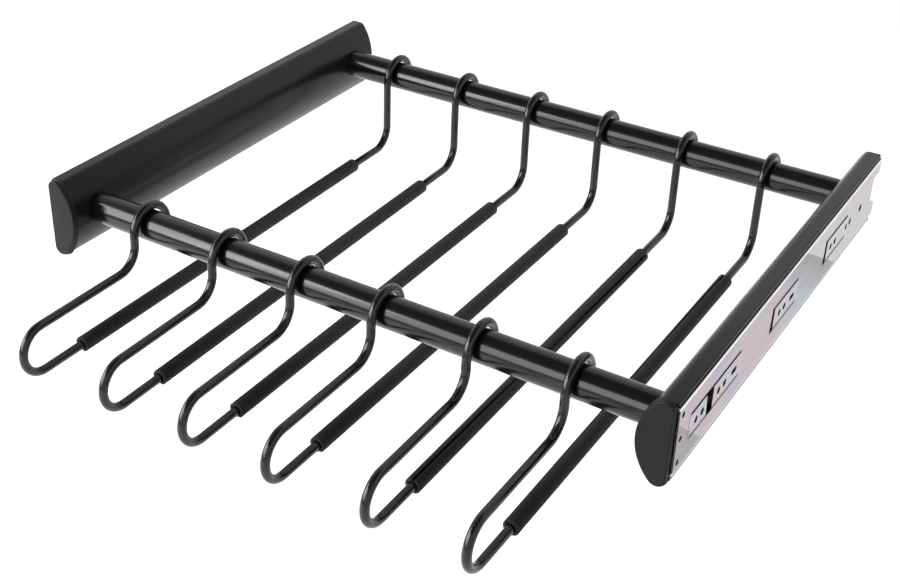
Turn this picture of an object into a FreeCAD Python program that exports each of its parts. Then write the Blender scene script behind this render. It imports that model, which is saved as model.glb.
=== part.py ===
"""Pull-out trouser rack: two ball-bearing slides screwed between cabinet walls carry
a frame of two D-section rails and two cross tubes, and six bent-wire hangers with
rubber sleeves hang from the tubes.

Millimetres, +Z up, +X to the right, the front faces -Y. The origin lies midway
between the cabinet walls, level with the slides' centre line, in the plane of the
cabinet walls' front edges; the slides are set back from it.
"""
import FreeCAD, Part
import math
import os
import Sketcher

V = FreeCAD.Vector
doc = FreeCAD.newDocument("TrouserRack")

# ---------------------------------------------------------------- driving sizes
SIZES = [
    ("OpeningWidth", 450.0, "clear width between the cabinet walls"),
    # ball-bearing slides
    ("SlideLength", 350.0, "nominal length of a slide"),
    ("SlideSetback", 2.0, "slides behind the cabinet walls' front edges"),
    ("SlideHeight", 46.0, "height of the cabinet member"),
    ("SlideThickness", 12.7, "wall face to rail face"),
    ("SlideSheet", 1.0, "sheet of the rolled slide members"),
    ("BendRadius", 2.0, "outer bend radius of the cabinet member"),
    ("PadRise", 0.2, "how far the screw pads stand out of the cabinet member"),
    ("HeadSpace", 1.7, "room for flat screw heads behind the cabinet member's web"),
    ("MemberGap", 0.3, "running gap between webs and ball cages"),
    ("EdgeGap", 0.4, "running gap at the members' rolled edges"),
    ("LipClear", 0.9, "gap under the rolled lips"),
    ("BallSize", 3.2, "ball diameter"),
    ("RaceGap", 0.05, "running gap between ball and race"),
    ("BallHoleGap", 0.15, "gap round a ball in its cage"),
    ("CageSheet", 0.4, "sheet of the cage webs"),
    ("CageRim", 0.6, "sheet of the cage rims"),
    ("CageLength", 136.0, "length of a ball cage"),
    ("CageMargin", 12.5, "cage end to first ball"),
    ("MemberSetback", 1.0, "inner members behind the cabinet member's front end"),
    ("BufferLength", 5.0, "rear rubber buffer along the slide"),
    ("BufferSetback", 1.0, "buffer in front of the notch"),
    ("BufferGap", 0.5, "closed slide to buffer"),
    ("StopLength", 3.0, "cage stop along the slide"),
    ("FirstScrew", 34.0, "front end to first cabinet screw"),
    ("ScrewPitch", 32.0, "cabinet screw grid"),
    ("RearScrewInset", 92.0, "rear end to the last screw but one"),
    ("CabinetHole", 4.8, "cabinet screw hole"),
    ("PairStep", 8.6, "second hole in front of each screw hole"),
    ("PairHole", 4.6, "second hole"),
    ("PadHeight", 15.4, "height of the raised screw tongues"),
    ("PadSlit", 1.1, "slit above and below a tongue"),
    ("PadRelief", 3.5, "open cut in front of a tongue's free end"),
    ("PadLap", 2.0, "tongue run out on the web"),
    ("PadSlant", 1.0, "slope of the cuts' front edges"),
    ("FirstPadStart", 18.0, "front window, front end"),
    ("FirstPadFree", 41.2, "first tongue, free end"),
    ("SecondPadFree", 49.3, "second tongue, free end"),
    ("FirstPadEnd", 89.0, "front window, rear end"),
    ("MiddlePadStart", 144.0, "middle tongue, free end"),
    ("MiddlePadEnd", 184.0, "middle tongue, rear end"),
    ("RearPadStart", 108.9, "rear tongue's free end before the slide's rear end"),
    ("RearPadEnd", 68.7, "rear tongue's root before the slide's rear end"),
    ("SlotInset", 8.8, "slot before the root of a tongue"),
    ("SlotLength", 8.0, "length of the slots"),
    ("SlotWidth", 3.6, "width of the slots"),
    ("FrontHoleInset", 4.8, "front row of tooling holes"),
    ("FrontHoleRise", 15.8, "tooling holes above and below the centre line"),
    ("ToolHole", 3.8, "tooling hole"),
    ("EndHole", 5.6, "large hole near the rear end"),
    ("EndHoleInset", 37.2, "large hole before the rear end"),
    ("NotchDepth", 12.1, "notch in the rear end of the cabinet member"),
    ("NotchTop", 11.9, "notch upper edge above the centre line"),
    ("NotchBottom", 5.5, "notch lower edge below the centre line"),
    ("WebSlotLength", 26.0, "lightening slots of the intermediate member"),
    ("WebSlotWidth", 9.0, "width of the lightening slots"),
    # D-section rails
    ("SlideProud", 1.3, "cabinet wall to the flat side of the rail"),
    ("RailHeight", 54.0, "height of the D section"),
    ("RailDrop", 1.6, "D section centred below the slide's centre line"),
    ("RailDepth", 19.5, "flat side to crown of the D section"),
    ("RailRun", 7.5, "flat side to the centre of the shoulder"),
    ("RailShoulder", 5.0, "shoulder radius of the D section"),
    ("RailCorner", 1.2, "corner radius beside the slide channel"),
    ("RailWall", 1.5, "crown wall"),
    ("RailFloor", 2.4, "wall behind the slide"),
    ("ChannelGap", 0.7, "gap above and below the slide"),
    ("StepGap", 0.3, "outer members to the step in the channel"),
    ("GrooveRoom", 2.0, "groove in the channel floor above the drawer member"),
    # end caps
    ("CapFace", 2.9, "front cap stands in front of the cabinet walls"),
    ("CapBack", 0.4, "front cap clears the slides"),
    ("CapInset", 0.5, "flat side of the cap inside the rail's flat side"),
    ("CapHeight", 56.0, "height of the front cap"),
    ("CapDepth", 20.6, "flat side to crown of the front cap"),
    ("CapRun", 7.3, "flat side to the centre of the cap's shoulder"),
    ("CapShoulder", 5.5, "shoulder radius of the front cap"),
    ("CapCorner", 4.5, "corner radius of the front cap's flat side"),
    ("CapPlate", 1.4, "front cap plate"),
    ("CapEdge", 1.2, "rounded rim of the front cap"),
    ("CapGroove", 0.3, "width of the grooves round the front cap"),
    ("CapGrooveDepth", 0.5, "depth of the grooves round the front cap"),
    ("RearCapPlate", 2.0, "rear cap plate"),
    ("RearCapEdge", 0.4, "stepped rim of the rear cap"),
    ("LugLength", 8.0, "cap lug inside the rail"),
    ("LugGap", 0.1, "fit of the lug in the rail"),
    # cross tubes
    ("TubeSize", 21.2, "cross tube diameter"),
    ("TubeWall", 1.5, "cross tube wall"),
    ("TubeInset", 24.0, "tube axis from the rail's nominal ends"),
    ("TubeGap", 0.1, "tube in the rail's hole"),
    ("PlugLength", 16.0, "plug in the tube's end"),
    ("PlugGap", 0.05, "fit of the plug in the tube"),
    # screws
    ("ScrewSize", 4.0, "machine screw shank"),
    ("ScrewGap", 0.2, "clearance hole round a shank"),
    ("ThreadGap", 0.02, "shank in its own thread"),
    ("HeadSize", 7.5, "screw head diameter"),
    ("HeadHeight", 2.0, "screw head height"),
    ("HeadGap", 0.75, "hole round a screw head"),
    ("SocketSize", 2.5, "driver socket in a screw head"),
    ("SocketDepth", 1.2, "depth of the driver socket"),
    ("TubeScrew", 14.0, "tube screw under its head"),
    ("SlideScrew", 5.0, "slide screw under its head"),
    ("SlideScrewInset", 60.0, "slide screws from the slide's ends"),
    # hangers
    ("WireSize", 5.8, "hanger wire diameter"),
    ("WireBend", 16.0, "bend radius on the wire's centre line"),
    ("HookGap", 0.3, "hook above the tube"),
    ("HookTail", 4.1, "hook end below its centre"),
    ("UpperRun", 23.0, "upper wire below the tube axis"),
    ("NoseReach", 120.0, "hanger nose in front of the front tube axis"),
    ("WireEdge", 0.8, "rounded wire ends"),
    ("SleeveSize", 10.4, "rubber sleeve diameter"),
    ("SleeveGap", 0.05, "sleeve round the wire"),
    ("SleeveSlit", 0.8, "slit along the sleeve"),
    ("SleeveLength", 309.0, "length of the sleeve"),
    ("SleeveLead", 72.0, "sleeve front end before the front tube axis"),
    ("EndSpace", 45.8, "crown of the rail to the end hangers' even places"),
    ("Nudge1", -1.2, "hanger 1 off its even place"),
    ("Nudge2", 0.9, "hanger 2 off its even place"),
    ("Nudge3", -1.1, "hanger 3 off its even place"),
    ("Nudge4", -4.5, "hanger 4 off its even place"),
    ("Nudge5", -2.0, "hanger 5 off its even place"),
    ("Nudge6", -2.2, "hanger 6 off its even place"),
    ("Turn1", 0.24, "degrees that hanger 1 stands askew"),
    ("Turn2", 0.45, "degrees that hanger 2 stands askew"),
    ("Turn3", 0.0, "degrees that hanger 3 stands askew"),
    ("Turn4", -0.10, "degrees that hanger 4 stands askew"),
    ("Turn5", 0.24, "degrees that hanger 5 stands askew"),
    ("Turn6", 0.14, "degrees that hanger 6 stands askew"),
    ("Slit1", 0.0, "degrees from the underside to sleeve 1's slit"),
    ("Slit2", 0.0, "degrees from the underside to sleeve 2's slit"),
    ("Slit3", 0.0, "degrees from the underside to sleeve 3's slit"),
    ("Slit4", 0.0, "degrees from the underside to sleeve 4's slit"),
    ("Slit5", 147.0, "degrees from the underside to sleeve 5's slit"),
    ("Slit6", 220.0, "degrees from the underside to sleeve 6's slit"),
]
HANGERS = 6
BALLS = 6          # in each row of a cage

sheet = doc.addObject("Spreadsheet::Sheet", "Sizes")
for row, (name, value, note) in enumerate(SIZES, 1):
    sheet.set("A%d" % row, name)
    sheet.set("B%d" % row, repr(value))
    sheet.setAlias("B%d" % row, name)
    sheet.set("C%d" % row, note)
doc.recompute()


class Dim:
    """A length that knows the sheet formula it comes from."""

    def __init__(self, value, text):
        self.v, self.t = float(value), text

    @staticmethod
    def of(x):
        return x if isinstance(x, Dim) else Dim(x, repr(float(x)))

    def mix(self, other, sign, value):
        return Dim(value, "(%s %s %s)" % (self.t, sign, other.t))

    def __add__(self, x):
        x = Dim.of(x)
        return self.mix(x, "+", self.v + x.v)

    def __sub__(self, x):
        x = Dim.of(x)
        return self.mix(x, "-", self.v - x.v)

    def __mul__(self, x):
        x = Dim.of(x)
        return self.mix(x, "*", self.v * x.v)

    def __truediv__(self, x):
        x = Dim.of(x)
        return self.mix(x, "/", self.v / x.v)

    def __neg__(self):
        return Dim(-self.v, "(-1 * %s)" % self.t)

    def __radd__(self, x):
        return Dim.of(x) + self

    def __rsub__(self, x):
        return Dim.of(x) - self

    def __rmul__(self, x):
        return Dim.of(x) * self

    def root(self):
        return Dim(math.sqrt(self.v), "sqrt(%s)" % self.t)


S = {name: Dim(getattr(sheet, name), "Sizes." + name) for name, _, _ in SIZES}
ZERO = Dim(0, "0")


# ---------------------------------------------------------------- drawing helpers
def bind(obj, prop, dim):
    obj.setExpression(prop, dim.t)


def origin_plane(body, role):
    return [f for f in body.Origin.OriginFeatures if f.Role == role][0]


def make_body(label):
    body = doc.addObject("PartDesign::Body", "Body_" + label)
    body.Label = label
    return body


def new_sketch(body, name, role, offset=ZERO):
    """A sketch on one of the body's origin planes, moved along the plane's normal."""
    sk = body.newObject("Sketcher::SketchObject", name)
    sk.AttachmentSupport = [(origin_plane(body, role), "")]
    sk.MapMode = "FlatFace"
    if offset is not ZERO:
        bind(sk, "AttachmentOffset.Base.z", offset)
    return sk


def place_point(sk, geo, pos, x, y):
    """Ties a sketch point to the sheet by its two coordinates."""
    for kind, axis, d in (("DistanceX", -2, Dim.of(x)), ("DistanceY", -1, Dim.of(y))):
        if d.t in ("0", "0.0"):
            sk.addConstraint(Sketcher.Constraint("PointOnObject", geo, pos, axis))
        else:
            k = sk.addConstraint(Sketcher.Constraint(kind, -1, 1, geo, pos, d.v))
            sk.setExpression("Constraints[%d]" % k, d.t)


def draw_path(sk, points, arcs, closed=True):
    """Lines and arcs through the points. arcs maps a point's index to the centre and
    radius of the arc that runs from it to the next point."""
    n = len(points)
    count = n if closed else n - 1
    ends = []
    for i in range(count):
        (ax, ay), (bx, by) = points[i], points[(i + 1) % n]
        ax, ay, bx, by = [Dim.of(d).v for d in (ax, ay, bx, by)]
        if i in arcs:
            cx, cy, r = [Dim.of(d).v for d in arcs[i]]
            ccw = (ax - cx) * (by - cy) - (ay - cy) * (bx - cx) > 0
            a0, a1 = math.atan2(ay - cy, ax - cx), math.atan2(by - cy, bx - cx)
            if not ccw:
                a0, a1 = a1, a0
            if a1 <= a0:
                a1 += 2 * math.pi
            g = sk.addGeometry(Part.ArcOfCircle(Part.Circle(V(cx, cy, 0), V(0, 0, 1), r), a0, a1))
            ends.append((g, 1, 2) if ccw else (g, 2, 1))
        else:
            g = sk.addGeometry(Part.LineSegment(V(ax, ay, 0), V(bx, by, 0)))
            ends.append((g, 1, 2))
    for i in range(count):
        if closed or i < count - 1:
            a, b = ends[i], ends[(i + 1) % count]
            sk.addConstraint(Sketcher.Constraint("Coincident", a[0], a[2], b[0], b[1]))
    for i in range(count):
        place_point(sk, ends[i][0], ends[i][1], *points[i])
        if i in arcs:
            k = sk.addConstraint(Sketcher.Constraint("Radius", ends[i][0], Dim.of(arcs[i][2]).v))
            sk.setExpression("Constraints[%d]" % k, Dim.of(arcs[i][2]).t)
    if not closed:
        place_point(sk, ends[-1][0], ends[-1][2], *points[-1])


def draw_circle(sk, x, y, r):
    g = sk.addGeometry(Part.Circle(V(Dim.of(x).v, Dim.of(y).v, 0), V(0, 0, 1), Dim.of(r).v))
    place_point(sk, g, 3, x, y)
    k = sk.addConstraint(Sketcher.Constraint("Radius", g, Dim.of(r).v))
    sk.setExpression("Constraints[%d]" % k, Dim.of(r).t)


def draw(sk, shapes):
    for shape in shapes:
        if shape[0] == "circle":
            draw_circle(sk, *shape[1:])
        else:
            draw_path(sk, shape[1], shape[2] if len(shape) > 2 else {})


def slot_path(x, y, length, width):
    """An upright or level slot with round ends, drawn as eight points."""
    r, a = width / 2, (length - width) / 2
    pts = [(x - a, y - r), (x + a, y - r), (x + a + r, y), (x + a, y + r),
           (x - a, y + r), (x - a - r, y)]
    return ("path", pts, {1: (x + a, y, r), 2: (x + a, y, r), 4: (x - a, y, r), 5: (x - a, y, r)})


def solid_changed(body, feature, before, grows):
    """A pad must add material and a pocket must take some away."""
    doc.recompute()
    now = feature.Shape.Volume
    if (now - before) * (1 if grows else -1) <= 1e-6:
        raise RuntimeError("%s: %s changed nothing" % (body.Label, feature.Name))
    return feature


def volume_of(body):
    doc.recompute()
    return body.Tip.Shape.Volume if body.Tip is not None else 0.0


def pad_y(body, name, shapes, start, end):
    """Extrudes an XZ section along the rack, from start to end."""
    before = volume_of(body)
    sk = new_sketch(body, name + "_section", "XZ_Plane", -start)
    draw(sk, shapes)
    pad = body.newObject("PartDesign::Pad", name)
    pad.Profile = sk
    pad.Reversed = True
    bind(pad, "Length", end - start)
    return solid_changed(body, pad, before, True)


def cut_y(body, name, shapes, start, end):
    before = volume_of(body)
    sk = new_sketch(body, name + "_section", "XZ_Plane", -start)
    draw(sk, shapes)
    cut = body.newObject("PartDesign::Pocket", name)
    cut.Profile = sk
    bind(cut, "Length", end - start)
    return solid_changed(body, cut, before, False)


def pad_x(body, name, shapes, start, end):
    """Extrudes a YZ section across the rack, from start to end."""
    before = volume_of(body)
    sk = new_sketch(body, name + "_section", "YZ_Plane", start)
    draw(sk, shapes)
    pad = body.newObject("PartDesign::Pad", name)
    pad.Profile = sk
    bind(pad, "Length", end - start)
    return solid_changed(body, pad, before, True)


def cut_x(body, name, shapes, start, end):
    before = volume_of(body)
    sk = new_sketch(body, name + "_section", "YZ_Plane", end)
    draw(sk, shapes)
    cut = body.newObject("PartDesign::Pocket", name)
    cut.Profile = sk
    bind(cut, "Length", end - start)
    return solid_changed(body, cut, before, False)


def cut_through(body, name, role, shapes):
    """Cuts both ways through the whole body from one of its origin planes."""
    before = volume_of(body)
    sk = new_sketch(body, name + "_section", role)
    draw(sk, shapes)
    cut = body.newObject("PartDesign::Pocket", name)
    cut.Profile = sk
    cut.Type = "ThroughAll"
    cut.SideType = "Symmetric"
    return solid_changed(body, cut, before, False)


def round_edges(body, name, radius, wanted):
    """Rounds the tip's edges that the test picks."""
    doc.recompute()
    tip = body.Tip
    names = ["Edge%d" % i for i, e in enumerate(tip.Shape.Edges, 1) if wanted(e)]
    fillet = body.newObject("PartDesign::Fillet", name)
    fillet.Base = (tip, names)
    bind(fillet, "Radius", radius)
    doc.recompute()
    return fillet


# ---------------------------------------------------------------- derived places
HALF = S["OpeningWidth"] / 2
SIDES = (("left", -1), ("right", 1))


def across(side, u):
    """The X of a point that lies u inside the cabinet wall of that side."""
    return (HALF - u) * side


# the slide's section, from the wall inwards
CAB_IN = S["PadRise"] + S["SlideSheet"]
OUT_CAGE = CAB_IN + S["HeadSpace"]
MID_WEB = OUT_CAGE + S["CageSheet"] + S["MemberGap"]
MID_IN = MID_WEB + S["SlideSheet"]
IN_CAGE = MID_IN + S["MemberGap"]
DRAWER_RIM = IN_CAGE + S["CageSheet"] + S["MemberGap"]
DRAWER_WEB = S["SlideThickness"] - S["SlideSheet"]
LIP_END = DRAWER_WEB - S["EdgeGap"]
LIP_IN = LIP_END - S["SlideSheet"]
CAGE_END = LIP_IN - S["EdgeGap"]
BALL_LINE = (DRAWER_RIM + CAGE_END) / 2
# heights above the slide's centre line
BALL_R = S["BallSize"] / 2
CAB_TOP = S["SlideHeight"] / 2
CAB_RACE = CAB_TOP - S["SlideSheet"]
OUT_BALL = CAB_RACE - S["RaceGap"] - BALL_R
MID_TOP = OUT_BALL - BALL_R - S["RaceGap"]
MID_RACE = MID_TOP - S["SlideSheet"]
IN_BALL = MID_RACE - S["RaceGap"] - BALL_R
DRAWER_TOP = IN_BALL - BALL_R - S["RaceGap"]
# along the slide
SLIDE_FRONT = S["SlideSetback"]
SLIDE_REAR = SLIDE_FRONT + S["SlideLength"]
INNER_FRONT = SLIDE_FRONT + S["MemberSetback"]
NOTCH = SLIDE_REAR - S["NotchDepth"]
BUFFER_REAR = NOTCH - S["BufferSetback"]
BUFFER_FRONT = BUFFER_REAR - S["BufferLength"]
INNER_REAR = BUFFER_FRONT - S["BufferGap"]
CAGE_FRONT = SLIDE_FRONT + (S["SlideLength"] - S["CageLength"]) / 2
CAGE_REAR = CAGE_FRONT + S["CageLength"]
# the rail's section: flat side towards the wall, crown towards the middle
RAIL_FLAT = S["SlideProud"]
CHANNEL_TOP = CAB_TOP + S["ChannelGap"]
CHANNEL_FLOOR = S["SlideThickness"]
CHANNEL_STEP = LIP_END + S["StepGap"]
GROOVE_TOP = DRAWER_TOP + S["GrooveRoom"]
CHAMBER = CHANNEL_FLOOR + S["RailFloor"]
CROWN = RAIL_FLAT + S["RailDepth"]
MIDDLE = -S["RailDrop"]
RAIL_FRONT = SLIDE_FRONT - S["CapBack"]
RAIL_REAR = S["SlideLength"]
# tubes
TUBE_FRONT = S["TubeInset"]
TUBE_REAR = RAIL_REAR - S["TubeInset"]
TUBE_END = HALF - CHAMBER
TUBE_R = S["TubeSize"] / 2


def member_section(side, outer, inner, top, race, rim, lip, bend):
    """A rolled C section. outer and inner are the web's faces, top and race the
    flange's faces, rim the flange's free end and lip the height its edge is rolled
    to. A lip of None leaves the edge straight."""
    t = S["SlideSheet"]
    into = -1 if rim.v < outer.v else 1
    soft = bend - t
    pts, arcs = [], {}

    def add(u, z):
        pts.append((across(side, u), z))

    def bend_to(u, z, cu, cz, r):
        arcs[len(pts) - 1] = (across(side, cu), cz, r)
        add(u, z)

    back = rim - t * into
    if lip is not None:
        add(back, lip)
        add(rim, lip)
    else:
        add(rim, race)
    add(rim, top)
    add(outer + bend * into, top)
    bend_to(outer, top - bend, outer + bend * into, top - bend, bend)
    add(outer, -(top - bend))
    bend_to(outer + bend * into, -top, outer + bend * into, -(top - bend), bend)
    add(rim, -top)
    if lip is not None:
        add(rim, -lip)
        add(back, -lip)
        add(back, -race)
    else:
        add(rim, -race)
    add(inner + soft * into, -race)
    bend_to(inner, -(race - soft), inner + soft * into, -(race - soft), soft)
    add(inner, race - soft)
    bend_to(inner + soft * into, race, inner + soft * into, race - soft, soft)
    if lip is not None:
        add(back, race)
    return ("path", pts, arcs)


def cage_section(side, web, top):
    """A square C of thin sheet: web against the wall side, rims along the balls."""
    inner = web + S["CageSheet"]
    low = top - S["CageRim"]
    x0, x1, x2 = across(side, web), across(side, inner), across(side, CAGE_END)
    return ("path", [(x0, -top), (x2, -top), (x2, -low), (x1, -low),
                     (x1, low), (x2, low), (x2, top), (x0, top)])


def crown_arc(depth, run, height, shoulder):
    """Radius of the crown arc that runs smoothly into both shoulders."""
    k, z = depth - run, height / 2 - shoulder
    return (k * k + z * z - shoulder * shoulder) / ((k - shoulder) * 2)


def d_outline(side, flat, height, depth, run, shoulder, corner, channel=False):
    """A D: flat side, rounded corners, level run, shoulders and crown, with or
    without the slide's channel in its flat side."""
    r = crown_arc(depth, run, height, shoulder)
    crown = flat + depth - r
    grow = r / (r - shoulder)
    half, rise = height / 2, height / 2 - shoulder
    tan_u, tan_z = crown + (flat + run - crown) * grow, rise * grow
    x_flat, x_corner, x_run = across(side, flat), across(side, flat + corner), across(side, flat + run)
    x_tan, x_crown = across(side, tan_u), across(side, crown)
    pts = [(x_flat, CHANNEL_TOP)] if channel else []
    first = len(pts)
    pts += [(x_flat, MIDDLE + half - corner), (x_corner, MIDDLE + half), (x_run, MIDDLE + half),
            (x_tan, MIDDLE + tan_z), (x_tan, MIDDLE - tan_z),
            (x_run, MIDDLE - half), (x_corner, MIDDLE - half), (x_flat, MIDDLE - half + corner)]
    arcs = {first: (x_corner, MIDDLE + half - corner, corner),
            first + 2: (x_run, MIDDLE + rise, shoulder),
            first + 3: (x_crown, MIDDLE, r),
            first + 4: (x_run, MIDDLE - rise, shoulder),
            first + 6: (x_corner, MIDDLE - half + corner, corner)}
    if channel:
        floor, step = across(side, CHANNEL_FLOOR), across(side, CHANNEL_STEP)
        pts += [(x_flat, -CHANNEL_TOP), (step, -CHANNEL_TOP), (step, -GROOVE_TOP), (floor, -GROOVE_TOP),
                (floor, GROOVE_TOP), (step, GROOVE_TOP), (step, CHANNEL_TOP)]
    return ("path", pts, arcs)


def rail_outline(side, less=ZERO):
    return d_outline(side, RAIL_FLAT + less, S["RailHeight"] - less * 2, S["RailDepth"] - less * 2,
                     S["RailRun"] - less, S["RailShoulder"] - less, S["RailCorner"] - less, channel=True)


def cap_outline(side, less=ZERO):
    """The front cap's own D, or the same D less a groove's depth all round."""
    return d_outline(side, RAIL_FLAT + S["CapInset"] + less, S["CapHeight"] - less * 2,
                     S["CapDepth"] - less * 2, S["CapRun"] - less, S["CapShoulder"] - less,
                     S["CapCorner"] - less)


def chamber_outline(side, gap=ZERO):
    """The lens-shaped chamber between the rail's floor and its crown."""
    rail_r = crown_arc(S["RailDepth"], S["RailRun"], S["RailHeight"], S["RailShoulder"])
    u, centre = CHAMBER + gap, CROWN - rail_r
    r = rail_r - S["RailWall"] - gap
    z = (r * r - (u - centre) * (u - centre)).root()
    arc = (across(side, centre), MIDDLE, r)
    return ("path", [(across(side, u), MIDDLE + z), (across(side, centre + r), MIDDLE),
                     (across(side, u), MIDDLE - z)], {0: arc, 1: arc})


# ---------------------------------------------------------------- slides
def cabinet_member(label, side):
    """The rolled member that is screwed to the cabinet wall."""
    body = make_body(label)
    pad_y(body, label + "_channel",
          [member_section(side, S["PadRise"], CAB_IN, CAB_TOP, CAB_RACE, LIP_END,
                          MID_TOP + S["LipClear"], S["BendRadius"])],
          SLIDE_FRONT, SLIDE_REAR)
    # lanced windows: two tongues face each other in the first, one stands in each other
    half, open_half = S["PadHeight"] / 2, S["PadHeight"] / 2 + S["PadSlit"]
    slant, lap = S["PadSlant"], S["PadLap"]
    a1, b1 = SLIDE_FRONT + S["FirstPadStart"], SLIDE_FRONT + S["FirstPadEnd"]
    free1, free2 = SLIDE_FRONT + S["FirstPadFree"], SLIDE_FRONT + S["SecondPadFree"]
    free3, b3 = SLIDE_FRONT + S["MiddlePadStart"], SLIDE_FRONT + S["MiddlePadEnd"]
    free4, b4 = SLIDE_REAR - S["RearPadStart"], SLIDE_REAR - S["RearPadEnd"]
    windows = [(a1, b1, ZERO)] + [(free - S["PadRelief"], b, slant) for free, b in ((free3, b3), (free4, b4))]
    cut_through(body, label + "_windows", "YZ_Plane",
                [("path", [(a - s, -open_half), (b, -open_half), (b, open_half), (a, open_half)])
                 for a, b, s in windows])
    low, high = (HALF - S["SlideSheet"], HALF) if side > 0 else (-HALF, S["SlideSheet"] - HALF)
    tongues = [(a1 - lap, free1, slant * 2), (free2, b1 + lap, ZERO), (free3, b3 + lap, ZERO), (free4, b4 + lap, ZERO)]
    for i, (a, b, cut) in enumerate(tongues, 1):
        pad_x(body, label + "_tongue%d" % i,
              [("path", [(a, -half), (b, -half), (b - cut, half), (a, half)])], low, high)
    # screw holes on the 32 mm grid in pairs, slots near two roots, tooling holes
    first, last = SLIDE_FRONT + S["FirstScrew"], SLIDE_REAR - S["RearScrewInset"]
    pitch = S["ScrewPitch"]
    holes = []
    for y in (first, first + pitch, first + pitch * 4, last, last + pitch):
        holes += [("circle", y, ZERO, S["CabinetHole"] / 2),
                  ("circle", y - S["PairStep"], ZERO, S["PairHole"] / 2)]
    for y in (b1, b3):
        holes.append(slot_path(y - S["SlotInset"], ZERO, S["SlotLength"], S["SlotWidth"]))
    for z in (S["FrontHoleRise"], ZERO, -S["FrontHoleRise"]):
        holes.append(("circle", SLIDE_FRONT + S["FrontHoleInset"], z, S["ToolHole"] / 2))
    holes.append(("circle", SLIDE_REAR - S["EndHoleInset"], ZERO, S["EndHole"] / 2))
    cut_through(body, label + "_holes", "YZ_Plane", holes)
    # notch between two tabs at the rear end
    past = SLIDE_REAR + 1
    cut_through(body, label + "_notch", "YZ_Plane",
                [("path", [(NOTCH, -S["NotchBottom"]), (past, -S["NotchBottom"] - S["NotchDepth"] / 2),
                           (past, S["NotchTop"]), (NOTCH, S["NotchTop"])])])
    return body


def intermediate_member(label, side):
    """The middle member: its flanges run between the two pairs of ball rows."""
    body = make_body(label)
    pad_y(body, label + "_channel",
          [member_section(side, MID_WEB, MID_IN, MID_TOP, MID_RACE, LIP_END,
                          DRAWER_TOP + S["LipClear"], S["SlideSheet"] + 0.5)],
          INNER_FRONT, INNER_REAR)
    # lightening slots along the web
    step = (INNER_REAR - INNER_FRONT) / 4
    cut_through(body, label + "_slots", "YZ_Plane",
                [slot_path(INNER_FRONT + step * (n + 0.5), ZERO, S["WebSlotLength"], S["WebSlotWidth"])
                 for n in range(4)])
    return body


def drawer_member(label, side):
    """The inner member, screwed to the floor of the rail's channel."""
    body = make_body(label)
    pad_y(body, label + "_channel",
          [member_section(side, S["SlideThickness"], DRAWER_WEB, DRAWER_TOP,
                          DRAWER_TOP - S["SlideSheet"], DRAWER_RIM, None, S["SlideSheet"] + 0.5)],
          INNER_FRONT, INNER_REAR)
    shank = S["ScrewSize"] / 2 + S["ScrewGap"]
    head = S["HeadSize"] / 2 + S["HeadGap"]
    holes = [("circle", y, ZERO, head) for y in (TUBE_FRONT, TUBE_REAR)]
    holes += [("circle", y, ZERO, shank) for y in SLIDE_SCREWS]
    cut_through(body, label + "_holes", "YZ_Plane", holes)
    return body


def ball_places(n):
    pitch = (S["CageLength"] - S["CageMargin"] * 2) / (BALLS - 1)
    return CAGE_FRONT + S["CageMargin"] + pitch * n


def ball_cage(label, side, web, height):
    """The sheet cage that keeps a slide's two ball rows apart and in step."""
    body = make_body(label)
    top = height + S["CageRim"] / 2
    pad_y(body, label + "_sheet", [cage_section(side, web, top)], CAGE_FRONT, CAGE_REAR)
    r = BALL_R + S["BallHoleGap"]
    x = across(side, BALL_LINE)
    cut_through(body, label + "_ball_holes", "XY_Plane",
                [("circle", x, ball_places(n), r) for n in range(BALLS)])
    # windows that leave a ladder of bars
    bar = (S["CageLength"] - S["CageMargin"] * 2) / 3
    cut_through(body, label + "_windows", "YZ_Plane",
                [slot_path(CAGE_FRONT + S["CageMargin"] + bar * (n + 0.5), ZERO, bar - 8, height)
                 for n in range(3)])
    return body


def ball_rows(label, side, height):
    """Two rows of balls, one above and one below, as a group of spheres."""
    balls = []
    for tag, z in (("top", height), ("bottom", -height)):
        for n in range(BALLS):
            ball = doc.addObject("Part::Sphere", "%s_%s%d" % (label, tag, n + 1))
            bind(ball, "Radius", BALL_R)
            bind(ball, "Placement.Base.x", across(side, BALL_LINE))
            bind(ball, "Placement.Base.y", ball_places(n))
            bind(ball, "Placement.Base.z", z)
            balls.append(ball)
    group = doc.addObject("Part::Compound", "Group_" + label)
    group.Label = label
    group.Links = balls
    return group


def rear_buffer(label, side):
    """The rubber block that stops the closing slide, held in the cabinet member."""
    body = make_body(label)
    x0, x1, x2 = across(side, CAB_IN), across(side, CAB_IN + 3), across(side, LIP_IN)
    soft = S["BendRadius"] - S["SlideSheet"]
    z1 = MID_RACE
    pad_y(body, label + "_block",
          [("path", [(across(side, CAB_IN + soft), -CAB_RACE), (x2, -CAB_RACE), (x2, -z1), (x1, -z1),
                     (x1, z1), (x2, z1), (x2, CAB_RACE), (across(side, CAB_IN + soft), CAB_RACE),
                     (x0, CAB_RACE - soft), (x0, -(CAB_RACE - soft))])],
          BUFFER_FRONT, BUFFER_REAR)
    return body


def cage_stops(label, side):
    """Two small nylon blocks on the intermediate member that stop the outer cage."""
    stops = []
    for tag, z in (("top", MID_TOP), ("bottom", -CAB_RACE + S["EdgeGap"])):
        stop = doc.addObject("Part::Box", "%s_%s" % (label, tag))
        bind(stop, "Length", CAGE_END - DRAWER_RIM)
        bind(stop, "Width", S["StopLength"])
        bind(stop, "Height", CAB_RACE - MID_TOP - S["EdgeGap"])
        bind(stop, "Placement.Base.x", across(side, CAGE_END if side > 0 else DRAWER_RIM))
        bind(stop, "Placement.Base.y", INNER_FRONT)
        bind(stop, "Placement.Base.z", z)
        stops.append(stop)
    group = doc.addObject("Part::Compound", "Group_" + label)
    group.Label = label
    group.Links = stops
    return group


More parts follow.
